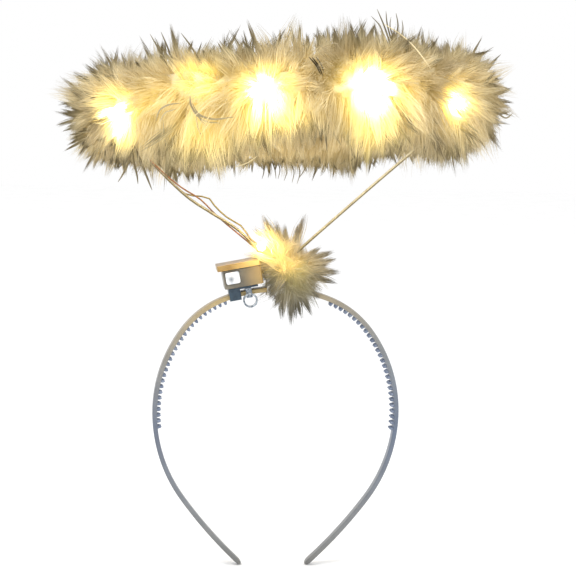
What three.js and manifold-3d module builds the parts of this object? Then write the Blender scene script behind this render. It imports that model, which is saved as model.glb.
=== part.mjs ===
// Light-up halo headband: a toothed plastic band with a battery case and a feather puff at its crown,
// and a marabou ring with small lights on two coated wire stems.
// Millimetres, +Z up as worn, +X to the right as seen from the front, -Y towards the viewer.
// The origin is on the inner face of the band, at its crown, where it sits on the head.

import * as THREE from "three";
import { mergeVertices } from "three/addons/utils/BufferGeometryUtils.js";
import Module from "manifold-3d";

const wasm = await Module();
wasm.setup();

const { degToRad, lerp } = THREE.MathUtils;
// The band's width runs along Y, and so does a cone's axis before it is turned
const ACROSS = new THREE.Vector3(0, 1, 0);

// Clearance between pieces that touch
const GAP = 0.3;

// Facets of a round corner
const CORNER_FACETS = 3;

// Locks of marabou: the shortest, and how much longer the longest is, as shares of their length,
// and the sides of the cone that a lock is tried out with
const LOCK_SHORTEST = 0.6;
const LOCK_SPREAD = 0.7;
const LOCK_SIDES = 6;

// Band
const BAND_HALF_LENGTH = 187.6;
const BAND_THICKNESS = 2.4;
const BAND_CROWN_WIDTH = 9;
const BAND_TIP_WIDTH = 6.4;
const BAND_EDGE = 0.6;
const BAND_STEPS = 46;
const TIP_COLUMNS = 10;
const TIP_ROWS = 6;
// The arcs of one side from crown to tip: share of the half length, and turn in degrees
const BAND_ARCS = [
  { share: 0.153, turn: 23 },
  { share: 0.132, turn: 30.3 },
  { share: 0.257, turn: 39.6 },
  { share: 0.232, turn: 33.3 },
  { share: 0.226, turn: 10.5 },
];

// Comb teeth on the inner face, in two rows on each side
const TOOTH_PITCH = 3;
const TOOTH_HEIGHT = 2.1;
const TOOTH_RADIUS = 1.25;
const TOOTH_ROOT = 0.5;
const TOOTH_SIDES = 4;
const TEETH_START = 28;
const TEETH_LENGTH = 78;
const TOOTH_ROW_SHARE = 0.26;

// Battery case, in its own frame: u along the band, v to the back, w up from the band's outer face
const CASE_TURN = 11;
const CASE_LEFT = -12.9;
const CASE_LENGTH = 19.5;
const CASE_DEPTH = 16;
const CASE_HEIGHT = 9;
const CASE_LIFT = 2.6;
const CASE_CORNER = 1.2;
const COVER_THICKNESS = 2.8;
const COVER_LIP = 2.2;
const BUTTON_WIDTH = 7;
const BUTTON_HEIGHT = 5.9;
const BUTTON_DEPTH = 3;
const BUTTON_CORNER = 0.9;
const BUTTON_PROUD = 0.9;
const BUTTON_TRAVEL = 0.8;
const BUTTON_INSET = 1.2;
const BUTTON_SILL = 2.3;

// Dark wrap that seats the case on the band, and the clear tie beside it
const WRAP_LEFT = -11.3;
const WRAP_LENGTH = 5.8;
const WRAP_WALL = 1.2;
const PAD_LENGTH = 15;
const PAD_DEPTH = 13.5;
const PAD_THICKNESS = 0.9;
const TIE_LEFT = -2.9;
const TIE_WIDTH = 3;
const TIE_WALL = 1;
const CURL_RADIUS = 3.7;
const CURL_WALL = 0.9;
const CURL_DEPTH = 2.4;
const CURL_DROP = 4.9;
const CURL_SIDES = 16;

// Halo ring: its near side leans up and its right side is a little higher
const HALO_RADIUS = 86;
const HALO_SHIFT = 3;
const HALO_HEIGHT = 90;
const HALO_LEAN = 10;
const HALO_ROLL = 3.5;
const HOOP_WIRE = 2;
const HOOP_SIDES = 6;
const HOOP_STEPS = 40;

// Marabou of the ring: a soft backing with lumps, on a grid round the ring and round its tube,
// where every other point is pulled out to the tip of a lock
const BOA_RADIUS = 18.5;
const BOA_LUMP_SHARE = 0.07;
const BOA_LUMPS = 7;
// Smaller lumps between them, half as high, that wind round the tube
const BOA_SMALL_LUMPS = 11;
const BOA_SMALL_SHARE = 0.5;
const BOA_SMALL_TWIST = 2;
const BOA_STEPS = 60;
const BOA_SIDES = 12;
const BOA_LOCK = 8;
const BOA_LOCK_ROOM = 7;
const LOCK_SWAY = 3;

// Coated wire stems from the crown to the ring's left and right
const STEM_WIRE = 1.6;
const STEM_SIDES = 6;
const STEM_STEPS = 24;
const STEM_X = -1.5;
const STEM_SPREAD = 1.4;
const STEM_FOOT = 7;
const EYE_SIDES = 12;
// Bends of each stem: share of its run, and offset above the straight line as a share of the run
const LEFT_BENDS = [
  { along: 0.12, rise: 0.018 },
  { along: 0.25, rise: 0.026 },
  { along: 0.4, rise: 0 },
  { along: 0.52, rise: -0.019 },
  { along: 0.78, rise: -0.012 },
];
const RIGHT_BENDS = [
  { along: 0.12, rise: 0.004 },
  { along: 0.5, rise: 0.002 },
  { along: 0.8, rise: -0.003 },
];
const BINDING_LENGTH = 9;
const BINDING_WALL = 1.5;
const BINDING_CORNER = 2;

// Leads from the case up the left stem into the ring
const LEAD_WIRE = 0.8;
const LEAD_SIDES = 6;
const LEAD_STEPS = 26;
const LEAD_SLACK = 5;
// Where the leads leave the case's end: share of its depth and of its height
const LEAD_EXIT_SHARE = 0.25;
const LEAD_EXIT_HEIGHT = 0.5;
// The first bend of a lead, out from the case and up, as shares of the slack
const LEAD_REACH = 0.5;
const LEAD_CLIMB = 0.25;
// Places along the left stem, with rise above it and shift to the back as shares of the slack
const GOLD_RUN = [
  { along: 0.1, rise: 0.2, back: -0.35 },
  { along: 0.178, rise: 0.4, back: -0.3 },
  { along: 0.24, rise: 0.2, back: -0.3 },
  { along: 0.296, rise: 0.5, back: -0.2 },
  { along: 0.366, rise: 0.42, back: 0.1 },
  { along: 0.428, rise: 0.7, back: 0.2 },
  { along: 0.475, rise: 1.1, back: 0.3 },
  { along: 0.515, rise: 0.75, back: 0.45 },
  { along: 0.56, rise: 0.15, back: 0.5 },
  { along: 0.68, rise: -0.05, back: 0.5 },
  { along: 0.82, rise: 0.2, back: 0.5 },
  { along: 0.92, rise: 0.6, back: 0.6 },
];
const RED_RUN = [
  { along: 0.1, rise: 0.1, back: 0.45 },
  { along: 0.2, rise: -0.1, back: 0.45 },
  { along: 0.4, rise: 0, back: 0.45 },
  { along: 0.503, rise: 0.56, back: 0 },
  { along: 0.603, rise: 0.32, back: -0.3 },
  { along: 0.72, rise: 0.1, back: -0.5 },
  { along: 0.9, rise: 0.1, back: -0.6 },
];

// Feather puff at the crown: overlapping lobes with locks, as shares of its radius
const PUFF_RADIUS = 13;
const PUFF_X = 5.5;
const PUFF_Z = 11.5;
const PUFF_LOBES = [
  { x: 0, y: 0, z: 0, size: 1 },
  { x: -0.85, y: -0.1, z: 0.85, size: 0.72 },
  { x: 0.75, y: 0, z: -0.1, size: 0.75 },
  { x: 0.15, y: -0.55, z: -0.95, size: 0.55 },
];
const PUFF_LOCK = 10;
const PUFF_LOCK_ROOM = 4;
const PUFF_COLUMNS = 18;
const PUFF_ROWS = 12;

// Lights: turn round the ring from the nearest point in degrees, and lift round its tube
const BULB_RADIUS = 2.4;
const BULB_SIDES = 7;
const BULB_ROWS = 5;
const BULB_SEAT_SHARE = 0.98;
const RING_BULBS = [
  { turn: -58.5, lift: -18 },
  { turn: -30.5, lift: 19 },
  { turn: -10.5, lift: -13 },
  { turn: 16.5, lift: -10 },
  { turn: 48, lift: -28 },
  { turn: 76, lift: 165 },
  { turn: 105, lift: 0 },
  { turn: 132, lift: 10 },
  { turn: 161, lift: 0 },
  { turn: 189, lift: -10 },
  { turn: 217, lift: 8 },
  { turn: 244, lift: 0 },
  { turn: 273, lift: -165 },
];
const PUFF_BULB = { x: -1.16, y: -0.73, z: 0.9 };

// A repeatable number from 0 to 1 for each whole number
function chance(seed) {
  const value = Math.sin(seed * 12.9898) * 43758.5453;
  return value - Math.floor(value);
}

function lockShare(seed) {
  return LOCK_SHORTEST + LOCK_SPREAD * chance(seed);
}

// A closed geometry as a solid that can be joined and cut
function solid(geometry) {
  const bare = geometry.clone();
  bare.deleteAttribute("normal");
  bare.deleteAttribute("uv");
  const merged = mergeVertices(bare);
  return new wasm.Manifold(new wasm.Mesh({
    numProp: 3,
    vertProperties: new Float32Array(merged.attributes.position.array),
    triVerts: new Uint32Array(merged.index.array),
  }));
}

// A solid as a geometry for a mesh
function geometryOf(whole) {
  const { vertProperties, triVerts } = whole.getMesh();
  const geometry = new THREE.BufferGeometry();
  geometry.setAttribute("position", new THREE.BufferAttribute(vertProperties, 3));
  geometry.setIndex(new THREE.BufferAttribute(triVerts, 1));
  geometry.computeVertexNormals();
  return geometry;
}

// All the solids as one
function joined(solids) {
  return solids.reduce((whole, next) => whole.add(next));
}

// The geometry with each of its points moved to where place says
function shaped(geometry, place) {
  const position = geometry.attributes.position;
  const point = new THREE.Vector3();
  for (let i = 0; i < position.count; i += 1) {
    const moved = place(point.fromBufferAttribute(position, i));
    position.setXYZ(i, moved.x, moved.y, moved.z);
  }
  return geometry;
}

function box(from, to) {
  const size = to.clone().sub(from);
  const geometry = new THREE.BoxGeometry(size.x, size.y, size.z);
  return geometry.translate(...from.clone().add(to).multiplyScalar(0.5).toArray());
}

// A rectangle with round corners, its lower left corner at left, low
function roundRectangle(left, low, width, height, corner) {
  const shape = new THREE.Shape();
  shape.moveTo(left + corner, low);
  shape.lineTo(left + width - corner, low);
  shape.absarc(left + width - corner, low + corner, corner, -Math.PI / 2, 0);
  shape.lineTo(left + width, low + height - corner);
  shape.absarc(left + width - corner, low + height - corner, corner, 0, Math.PI / 2);
  shape.lineTo(left + corner, low + height);
  shape.absarc(left + corner, low + height - corner, corner, Math.PI / 2, Math.PI);
  shape.lineTo(left, low + corner);
  shape.absarc(left + corner, low + corner, corner, Math.PI, 1.5 * Math.PI);
  return shape;
}

// A plate with the shape's outline in x and y, from low to high
function plate(shape, low, high) {
  const settings = { depth: high - low, bevelEnabled: false, curveSegments: CORNER_FACETS };
  return new THREE.ExtrudeGeometry(shape, settings).translate(0, 0, low);
}

function tube(curve, diameter, sides, steps) {
  const section = new THREE.Shape();
  section.absarc(0, 0, diameter / 2, 0, 2 * Math.PI);
  const settings = { extrudePath: curve, steps, bevelEnabled: false, curveSegments: sides / 2 };
  return new THREE.ExtrudeGeometry(section, settings);
}

function mesh(name, geometry, material) {
  const piece = new THREE.Mesh(geometry, material);
  piece.name = name;
  return piece;
}

// Place and axes on the band's centreline, at a distance from the crown that is negative to the left
function bandFrame(distance) {
  const side = distance < 0 ? -1 : 1;
  const point = new THREE.Vector3(0, 0, BAND_THICKNESS / 2);
  let rest = Math.abs(distance);
  let heading = 0;
  for (const { share, turn } of BAND_ARCS) {
    const length = share * BAND_HALF_LENGTH;
    const run = Math.min(rest, length);
    const half = degToRad(turn) * run / length / 2;
    const chord = half > 0 ? run * Math.sin(half) / half : 0;
    point.x += side * chord * Math.cos(heading + half);
    point.z -= chord * Math.sin(heading + half);
    heading += 2 * half;
    rest -= run;
  }
  const along = new THREE.Vector3(Math.cos(heading), 0, -side * Math.sin(heading));
  const out = new THREE.Vector3(side * Math.sin(heading), 0, Math.cos(heading));
  return { point, along, out };
}

// The point at a distance along the band, a way across it and a way out from its centreline
function onBand(distance, across, outward) {
  const { point, out } = bandFrame(distance);
  return point.addScaledVector(ACROSS, across).addScaledVector(out, outward);
}

// Distance from the crown at which the band has turned by so many degrees
function bandDistance(turned) {
  const [first] = BAND_ARCS;
  return first.share * BAND_HALF_LENGTH * turned / first.turn;
}

// The plain bar of the band, grown by gap all round
function bandBar(gap) {
  const width = BAND_CROWN_WIDTH + 2 * gap;
  const thickness = BAND_THICKNESS + 2 * gap;
  const section = new THREE.Shape();
  section.moveTo(-width / 2 + BAND_EDGE, -thickness / 2);
  section.lineTo(width / 2 - BAND_EDGE, -thickness / 2);
  section.lineTo(width / 2, -thickness / 2 + BAND_EDGE);
  section.lineTo(width / 2, thickness / 2 - BAND_EDGE);
  section.lineTo(width / 2 - BAND_EDGE, thickness / 2);
  section.lineTo(-width / 2 + BAND_EDGE, thickness / 2);
  section.lineTo(-width / 2, thickness / 2 - BAND_EDGE);
  section.lineTo(-width / 2, -thickness / 2 + BAND_EDGE);
  const settings = { depth: 1, steps: BAND_STEPS, bevelEnabled: false };
  return shaped(new THREE.ExtrudeGeometry(section, settings), ({ x, y, z }) => {
    const share = 2 * z - 1;
    const taper = lerp(1, BAND_TIP_WIDTH / BAND_CROWN_WIDTH, Math.abs(share));
    return onBand(share * BAND_HALF_LENGTH, x * taper, y);
  });
}

// The round end of the band on one side
function bandTip(side) {
  const tip = new THREE.SphereGeometry(BAND_TIP_WIDTH / 2, TIP_COLUMNS, TIP_ROWS);
  const flat = BAND_THICKNESS / BAND_TIP_WIDTH;
  const { point, along, out } = bandFrame(side * BAND_HALF_LENGTH);
  const matrix = new THREE.Matrix4().makeBasis(along, ACROSS, out).setPosition(point);
  return tip.scale(1, 1, flat).applyMatrix4(matrix);
}

function tooth(distance, row) {
  const height = TOOTH_HEIGHT + TOOTH_ROOT;
  const cone = new THREE.ConeGeometry(TOOTH_RADIUS, height, TOOTH_SIDES);
  const across = row * TOOTH_ROW_SHARE * BAND_CROWN_WIDTH;
  const foot = -BAND_THICKNESS / 2 + TOOTH_ROOT;
  return shaped(cone, ({ x, y, z }) => onBand(distance + x, across + z, foot - (y + height / 2)));
}

function headbandSolid() {
  const count = Math.floor(TEETH_LENGTH / TOOTH_PITCH) + 1;
  const pieces = [solid(bandBar(0))];
  for (const side of [-1, 1]) {
    pieces.push(solid(bandTip(side)));
    for (let i = 0; i < count; i += 1) {
      for (const row of [-1, 1]) {
        pieces.push(solid(tooth(side * (TEETH_START + i * TOOTH_PITCH), row)));
      }
    }
  }
  return joined(pieces);
}

// The battery case's frame stands on the band's outer face, where the band has turned by CASE_TURN
function caseFrame() {
  const { point, along, out } = bandFrame(-bandDistance(CASE_TURN));
  point.addScaledVector(out, BAND_THICKNESS / 2);
  return new THREE.Matrix4().makeBasis(along, ACROSS, out).setPosition(point);
}

function caseBody(gap) {
  const width = CASE_LENGTH + 2 * gap;
  const depth = CASE_DEPTH + 2 * gap;
  const outline = roundRectangle(CASE_LEFT - gap, -depth / 2, width, depth, CASE_CORNER);
  return plate(outline, CASE_LIFT - gap, CASE_LIFT + CASE_HEIGHT + gap);
}

function caseCover(gap) {
  const low = CASE_LIFT + CASE_HEIGHT + GAP;
  const width = CASE_LENGTH + COVER_LIP + 2 * gap;
  const depth = CASE_DEPTH + 2 * gap;
  const outline = roundRectangle(CASE_LEFT - COVER_LIP - gap, -depth / 2, width, depth, CASE_CORNER);
  return plate(outline, low - gap, low + COVER_THICKNESS + gap);
}

// The push button's block or, grown by a gap and its travel, the pocket it slides in
function buttonBlock(gap, travel) {
  const left = CASE_LEFT + BUTTON_INSET - gap;
  const low = CASE_LIFT + BUTTON_SILL - gap;
  const width = BUTTON_WIDTH + 2 * gap;
  const height = BUTTON_HEIGHT + 2 * gap;
  const front = -CASE_DEPTH / 2 - BUTTON_PROUD;
  const outline = roundRectangle(left, low, width, height, BUTTON_CORNER);
  const block = plate(outline, -(front + BUTTON_DEPTH + travel + gap), -front);
  return block.rotateX(Math.PI / 2);
}

function caseSolid() {
  return solid(caseBody(0)).subtract(solid(buttonBlock(GAP, BUTTON_TRAVEL)));
}

// A block round the band from left, as long as length and up to high, in the case's frame
function blockRoundBand(left, length, wall, high) {
  const reach = BAND_CROWN_WIDTH / 2 + GAP + wall;
  const low = -BAND_THICKNESS - GAP - wall;
  const from = new THREE.Vector3(left, -reach, low);
  const to = new THREE.Vector3(left + length, reach, high);
  const bar = bandBar(GAP).applyMatrix4(caseFrame().invert());
  return { block: solid(box(from, to)), bar: solid(bar) };
}

// The wrap, with a pad under the case that passes over the tie's strap
function wrapSolid() {
  const high = CASE_LIFT - GAP;
  const { block, bar } = blockRoundBand(WRAP_LEFT, WRAP_LENGTH, WRAP_WALL, high);
  const from = new THREE.Vector3(WRAP_LEFT, -PAD_DEPTH / 2, high - PAD_THICKNESS);
  const to = new THREE.Vector3(WRAP_LEFT + PAD_LENGTH, PAD_DEPTH / 2, high);
  return block.add(solid(box(from, to))).subtract(bar);
}

// The strap of the clear tie, with its tail curled in front of the band's lower edge
function tieSolid() {
  const high = CASE_LIFT - PAD_THICKNESS - 2 * GAP;
  const { block, bar } = blockRoundBand(TIE_LEFT, TIE_WIDTH, TIE_WALL, high);
  const ring = new THREE.Shape();
  ring.absarc(0, 0, CURL_RADIUS, 0, 2 * Math.PI);
  const hole = new THREE.Path();
  hole.absarc(0, 0, CURL_RADIUS - CURL_WALL, 0, 2 * Math.PI, true);
  ring.holes.push(hole);
  const settings = { depth: CURL_DEPTH, bevelEnabled: false, curveSegments: CURL_SIDES / 2 };
  const curl = new THREE.ExtrudeGeometry(ring, settings).rotateX(Math.PI / 2);
  const back = -BAND_CROWN_WIDTH / 2 - GAP;
  curl.translate(TIE_LEFT + TIE_WIDTH / 2, back, -CURL_DROP);
  return block.add(solid(curl)).subtract(bar);
}

// The ring's frame, leaning and rolled about its centre
function haloFrame() {
  const turn = new THREE.Euler(-degToRad(HALO_LEAN), -degToRad(HALO_ROLL), 0, "YXZ");
  const frame = new THREE.Matrix4().makeRotationFromEuler(turn);
  return frame.setPosition(HALO_SHIFT, 0, HALO_HEIGHT);
}

function hoop(gap) {
  return new THREE.TorusGeometry(HALO_RADIUS, HOOP_WIRE / 2 + gap, HOOP_SIDES, HOOP_STEPS);
}

// The stem's eye round the hoop at the ring's left or right, in the ring's frame
function stemEye(side, gap) {
  const radius = (HOOP_WIRE + STEM_WIRE) / 2 + GAP;
  const eye = new THREE.TorusGeometry(radius, STEM_WIRE / 2 + gap, STEM_SIDES, EYE_SIDES);
  return eye.rotateX(Math.PI / 2).translate(side * HALO_RADIUS, 0, 0);
}

// A stem's centreline from its foot on the band to its eye
function stemCurve(side, bends) {
  const bottom = new THREE.Vector3(STEM_X, -side * STEM_SPREAD, BAND_THICKNESS + GAP);
  const knee = bottom.clone();
  knee.z += STEM_FOOT;
  const hoopCentre = new THREE.Vector3(side * HALO_RADIUS, 0, 0).applyMatrix4(haloFrame());
  const eyeRadius = (HOOP_WIRE + STEM_WIRE) / 2 + GAP;
  const run = hoopCentre.clone().sub(knee);
  const above = new THREE.Vector3(-side * run.z, 0, side * run.x).normalize();
  const top = hoopCentre.addScaledVector(above, -eyeRadius);
  const points = [bottom, knee];
  for (const { along, rise } of bends) {
    points.push(knee.clone().lerp(top, along).addScaledVector(above, rise * run.length()));
  }
  points.push(top);
  return new THREE.CatmullRomCurve3(points);
}

function stemParts(side, bends, gap) {
  const run = tube(stemCurve(side, bends), STEM_WIRE + 2 * gap, STEM_SIDES, STEM_STEPS);
  return solid(run).add(solid(stemEye(side, gap).applyMatrix4(haloFrame())));
}

const stemLeft = (gap) => stemParts(-1, LEFT_BENDS, gap);
const stemRight = (gap) => stemParts(1, RIGHT_BENDS, gap);

// The block that ties the feet of both stems to the band
function bindingBlock(gap) {
  const reach = BAND_CROWN_WIDTH / 2 + GAP + BINDING_WALL + gap;
  const low = -GAP - BINDING_WALL - gap;
  const high = BAND_THICKNESS + STEM_FOOT + gap;
  const outline = roundRectangle(-reach, low, 2 * reach, high - low, BINDING_CORNER);
  const block = plate(outline, -BINDING_LENGTH / 2 - gap, BINDING_LENGTH / 2 + gap);
  return block.rotateX(Math.PI / 2).rotateZ(Math.PI / 2).translate(STEM_X, 0, 0);
}

function bindingSolid() {
  const cut = joined([solid(bandBar(GAP)), stemLeft(GAP), stemRight(GAP)]);
  return solid(bindingBlock(0)).subtract(cut);
}

// A lead from the case's right end to the left stem, then along it into the ring
function leadCurve(run, exitShare) {
  const stem = stemCurve(-1, LEFT_BENDS);
  const exit = new THREE.Vector3(
    CASE_LEFT + CASE_LENGTH + GAP,
    exitShare * CASE_DEPTH,
    CASE_LIFT + LEAD_EXIT_HEIGHT * CASE_HEIGHT,
  );
  const bend = exit.clone();
  bend.x += LEAD_REACH * LEAD_SLACK;
  bend.z += LEAD_CLIMB * LEAD_SLACK;
  const points = [exit, bend].map((point) => point.applyMatrix4(caseFrame()));
  for (const row of run) {
    const point = stem.getPointAt(row.along);
    const tangent = stem.getTangentAt(row.along);
    const above = new THREE.Vector3(tangent.z, 0, -tangent.x).normalize();
    point.addScaledVector(above, row.rise * LEAD_SLACK);
    points.push(point.addScaledVector(ACROSS, row.back * LEAD_SLACK));
  }
  return new THREE.CatmullRomCurve3(points);
}

const goldCurve = () => leadCurve(GOLD_RUN, -LEAD_EXIT_SHARE);
const redCurve = () => leadCurve(RED_RUN, LEAD_EXIT_SHARE);

function lead(curve, gap) {
  return solid(tube(curve, LEAD_WIRE + 2 * gap, LEAD_SIDES, LEAD_STEPS));
}

// Whether a cone from a lock's root to its tip, as wide as the room it takes, is clear of the obstacles
function lockIsClear(root, tip, room, obstacles) {
  const length = root.distanceTo(tip);
  const cone = new THREE.ConeGeometry(room, length, LOCK_SIDES);
  const middle = root.clone().add(tip).multiplyScalar(0.5);
  const turn = new THREE.Quaternion().setFromUnitVectors(ACROSS, tip.clone().sub(root).normalize());
  const matrix = new THREE.Matrix4().makeRotationFromQuaternion(turn).setPosition(middle);
  return solid(cone.applyMatrix4(matrix)).intersect(obstacles).isEmpty();
}

// Radius of the boa's backing at an angle round the ring and round its tube
function boaRadius(turn, lift) {
  const large = Math.sin(BOA_LUMPS * turn);
  const small = Math.sin(BOA_SMALL_LUMPS * turn + BOA_SMALL_TWIST * lift);
  return BOA_RADIUS * (1 + BOA_LUMP_SHARE * (large + BOA_SMALL_SHARE * small));
}

// The point at a distance from the ring's tube centre, in the ring's frame; turn 0 is nearest
function onBoa(turn, lift, distance) {
  const reach = HALO_RADIUS + distance * Math.cos(lift);
  return new THREE.Vector3(reach * Math.sin(turn), -reach * Math.cos(turn), distance * Math.sin(lift));
}

// One point of the boa's grid, at the backing or at the tip of a lock
function boaPoint(column, row, obstacles) {
  const turn = column / BOA_STEPS * 2 * Math.PI;
  const lift = row / BOA_SIDES * 2 * Math.PI;
  const root = onBoa(turn, lift, boaRadius(turn, lift));
  if ((column + row) % 2 === 0) {
    return root;
  }
  const seed = column * BOA_SIDES + row + 1;
  const length = BOA_LOCK * lockShare(seed);
  const sway = LOCK_SWAY * (2 * chance(-seed) - 1);
  const tip = onBoa(turn + sway / HALO_RADIUS, lift, boaRadius(turn, lift) + length);
  return lockIsClear(root, tip, BOA_LOCK_ROOM, obstacles) ? tip : root;
}

function boaSurface(obstacles) {
  const torus = new THREE.TorusGeometry(HALO_RADIUS, BOA_RADIUS, BOA_SIDES, BOA_STEPS);
  return shaped(torus, ({ x, y, z }) => {
    const turn = Math.atan2(x, -y) / 2 / Math.PI;
    const lift = Math.atan2(z, Math.hypot(x, y) - HALO_RADIUS) / 2 / Math.PI;
    const column = Math.round((turn + 1) * BOA_STEPS) % BOA_STEPS;
    const row = Math.round((lift + 1) * BOA_SIDES) % BOA_SIDES;
    return boaPoint(column, row, obstacles);
  });
}

// Centre of a ring light, half sunk in the backing
function ringBulbCentre({ turn, lift }) {
  const round = degToRad(turn);
  const raised = degToRad(lift);
  return onBoa(round, raised, BULB_SEAT_SHARE * boaRadius(round, raised));
}

function puffBulbCentre() {
  const { x, y, z } = PUFF_BULB;
  return new THREE.Vector3(PUFF_X + x * PUFF_RADIUS, y * PUFF_RADIUS, PUFF_Z + z * PUFF_RADIUS);
}

function bulb(centre, gap) {
  return new THREE.SphereGeometry(BULB_RADIUS + gap, BULB_SIDES, BULB_ROWS).translate(...centre.toArray());
}

function boaSolid() {
  const toRing = haloFrame().invert();
  const inRing = (whole) => solid(geometryOf(whole).applyMatrix4(toRing));
  const wires = [stemLeft(GAP), stemRight(GAP), lead(goldCurve(), GAP), lead(redCurve(), GAP)];
  const bulbs = RING_BULBS.map((place) => solid(bulb(ringBulbCentre(place), GAP)));
  const obstacles = joined([...wires.map(inRing), solid(hoop(GAP)), ...bulbs]);
  return solid(boaSurface(obstacles)).subtract(obstacles);
}

// How far the puff's backing reaches from its centre in a direction, out to its farthest lobe
function puffReach(direction) {
  const reaches = PUFF_LOBES.map(({ x, y, z, size }) => {
    const centre = new THREE.Vector3(x, y, z).multiplyScalar(PUFF_RADIUS);
    const along = centre.dot(direction);
    const spare = (size * PUFF_RADIUS) ** 2 - centre.lengthSq() + along * along;
    return spare > 0 ? along + Math.sqrt(spare) : 0;
  });
  return Math.max(...reaches);
}

// The puff's surface: a ball's grid whose every other point is pulled out to the tip of a lock
function puffSurface(obstacles) {
  const centre = new THREE.Vector3(PUFF_X, 0, PUFF_Z);
  return shaped(new THREE.SphereGeometry(1, PUFF_COLUMNS, PUFF_ROWS), ({ x, y, z }) => {
    const column = Math.round((Math.atan2(z, x) / 2 / Math.PI + 1) * PUFF_COLUMNS) % PUFF_COLUMNS;
    const row = Math.round(Math.acos(y) / Math.PI * PUFF_ROWS);
    const atPole = row === 0 || row === PUFF_ROWS;
    const direction = atPole ? new THREE.Vector3(0, Math.sign(y), 0) : new THREE.Vector3(x, y, z);
    const reach = puffReach(direction);
    const root = centre.clone().addScaledVector(direction, reach);
    const length = PUFF_LOCK * lockShare(column * PUFF_ROWS + row);
    const tip = centre.clone().addScaledVector(direction, reach + length);
    const isTip = !atPole && (column + row) % 2 === 1;
    return isTip && lockIsClear(root, tip, PUFF_LOCK_ROOM, obstacles) ? tip : root;
  });
}

function puffSolid() {
  const onCase = [caseBody(GAP), caseCover(GAP)].map((piece) => solid(piece.applyMatrix4(caseFrame())));
  const held = [stemLeft(GAP), stemRight(GAP), lead(goldCurve(), GAP), lead(redCurve(), GAP)];
  const tied = [solid(bandBar(GAP)), solid(bindingBlock(GAP)), solid(bulb(puffBulbCentre(), GAP))];
  const obstacles = joined([...onCase, ...held, ...tied]);
  return solid(puffSurface(obstacles)).subtract(obstacles);
}

function standard(colour, roughness, settings = {}) {
  return new THREE.MeshStandardMaterial({ color: colour, roughness, metalness: 0, ...settings });
}

function light(name, centre) {
  return mesh(name, bulb(centre, 0), standard(0xfff2c0, 0.3, { emissive: 0xffd060 }));
}

// The ring with its hoop and lights, in its own leaning frame
function buildHalo() {
  const halo = new THREE.Group();
  haloFrame().decompose(halo.position, halo.quaternion, halo.scale);
  halo.add(mesh("halo_hoop", hoop(0), standard(0xe9e2cf, 0.45)));
  halo.add(mesh("halo_boa", geometryOf(boaSolid()), standard(0xd8c79a, 0.95)));
  RING_BULBS.forEach((place, index) => {
    halo.add(light(`led_bulb_${String(index + 1).padStart(2, "0")}`, ringBulbCentre(place)));
  });
  return halo;
}

// The battery case with its cover, button, wrap and tie, in the case's turned frame
function buildCase() {
  const group = new THREE.Group();
  caseFrame().decompose(group.position, group.quaternion, group.scale);
  group.add(mesh("battery_case", geometryOf(caseSolid()), standard(0x8f8a76, 0.4)));
  group.add(mesh("case_cover", caseCover(0), standard(0xb08a4a, 0.4)));
  group.add(mesh("power_button", buttonBlock(0, 0), standard(0xf4f6f8, 0.4)));
  group.add(mesh("case_wrap", geometryOf(wrapSolid()), standard(0x1d333f, 0.5)));
  group.add(mesh("cable_tie", geometryOf(tieSolid()), standard(0xdfe5e6, 0.25)));
  return group;
}

function buildHeadband() {
  const crown = new THREE.Group();
  crown.add(mesh("headband", geometryOf(headbandSolid()), standard(0x8b8f94, 0.45)));
  crown.add(mesh("stem_left", geometryOf(stemLeft(0)), standard(0xe6dcb4, 0.4)));
  crown.add(mesh("stem_right", geometryOf(stemRight(0)), standard(0xe6dcb4, 0.4)));
  crown.add(mesh("stem_binding", geometryOf(bindingSolid()), standard(0xcfcac0, 0.8)));
  crown.add(mesh("led_lead_gold", geometryOf(lead(goldCurve(), 0)), standard(0xb8a24a, 0.4)));
  crown.add(mesh("led_lead_red", geometryOf(lead(redCurve(), 0)), standard(0x8a3a26, 0.4)));
  crown.add(mesh("feather_puff", geometryOf(puffSolid()), standard(0xcdbb94, 0.95)));
  crown.add(light("led_bulb_puff", puffBulbCentre()));
  return crown;
}

const part = new THREE.Group();
part.name = "halo_headband";
part.add(buildHeadband(), buildCase(), buildHalo());

export default part;
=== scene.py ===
from math import cos, pi, radians, sin

import bpy
import numpy as np
from mathutils import Matrix, Vector


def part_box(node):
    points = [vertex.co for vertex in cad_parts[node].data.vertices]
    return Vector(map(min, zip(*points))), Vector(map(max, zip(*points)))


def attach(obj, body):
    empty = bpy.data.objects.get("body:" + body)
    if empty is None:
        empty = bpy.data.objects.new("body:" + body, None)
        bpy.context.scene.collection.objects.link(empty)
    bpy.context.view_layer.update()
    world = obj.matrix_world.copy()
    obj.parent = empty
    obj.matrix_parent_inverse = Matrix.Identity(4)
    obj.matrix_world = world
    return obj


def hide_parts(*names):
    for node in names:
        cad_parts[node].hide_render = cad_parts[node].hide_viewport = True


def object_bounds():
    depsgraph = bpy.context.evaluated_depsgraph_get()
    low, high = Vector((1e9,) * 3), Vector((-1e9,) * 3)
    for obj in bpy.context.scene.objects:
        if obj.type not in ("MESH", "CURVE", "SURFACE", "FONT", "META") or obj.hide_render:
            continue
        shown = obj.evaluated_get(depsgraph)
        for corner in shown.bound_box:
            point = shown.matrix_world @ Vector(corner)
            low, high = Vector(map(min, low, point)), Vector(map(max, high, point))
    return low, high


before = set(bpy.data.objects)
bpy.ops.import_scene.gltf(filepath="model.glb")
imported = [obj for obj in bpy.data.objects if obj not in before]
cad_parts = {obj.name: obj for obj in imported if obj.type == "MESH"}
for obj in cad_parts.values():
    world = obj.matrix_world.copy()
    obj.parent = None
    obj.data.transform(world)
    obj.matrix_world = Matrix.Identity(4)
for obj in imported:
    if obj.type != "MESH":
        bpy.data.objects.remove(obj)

MM = 0.001
rng = np.random.default_rng(7)
cad_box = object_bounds()

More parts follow.
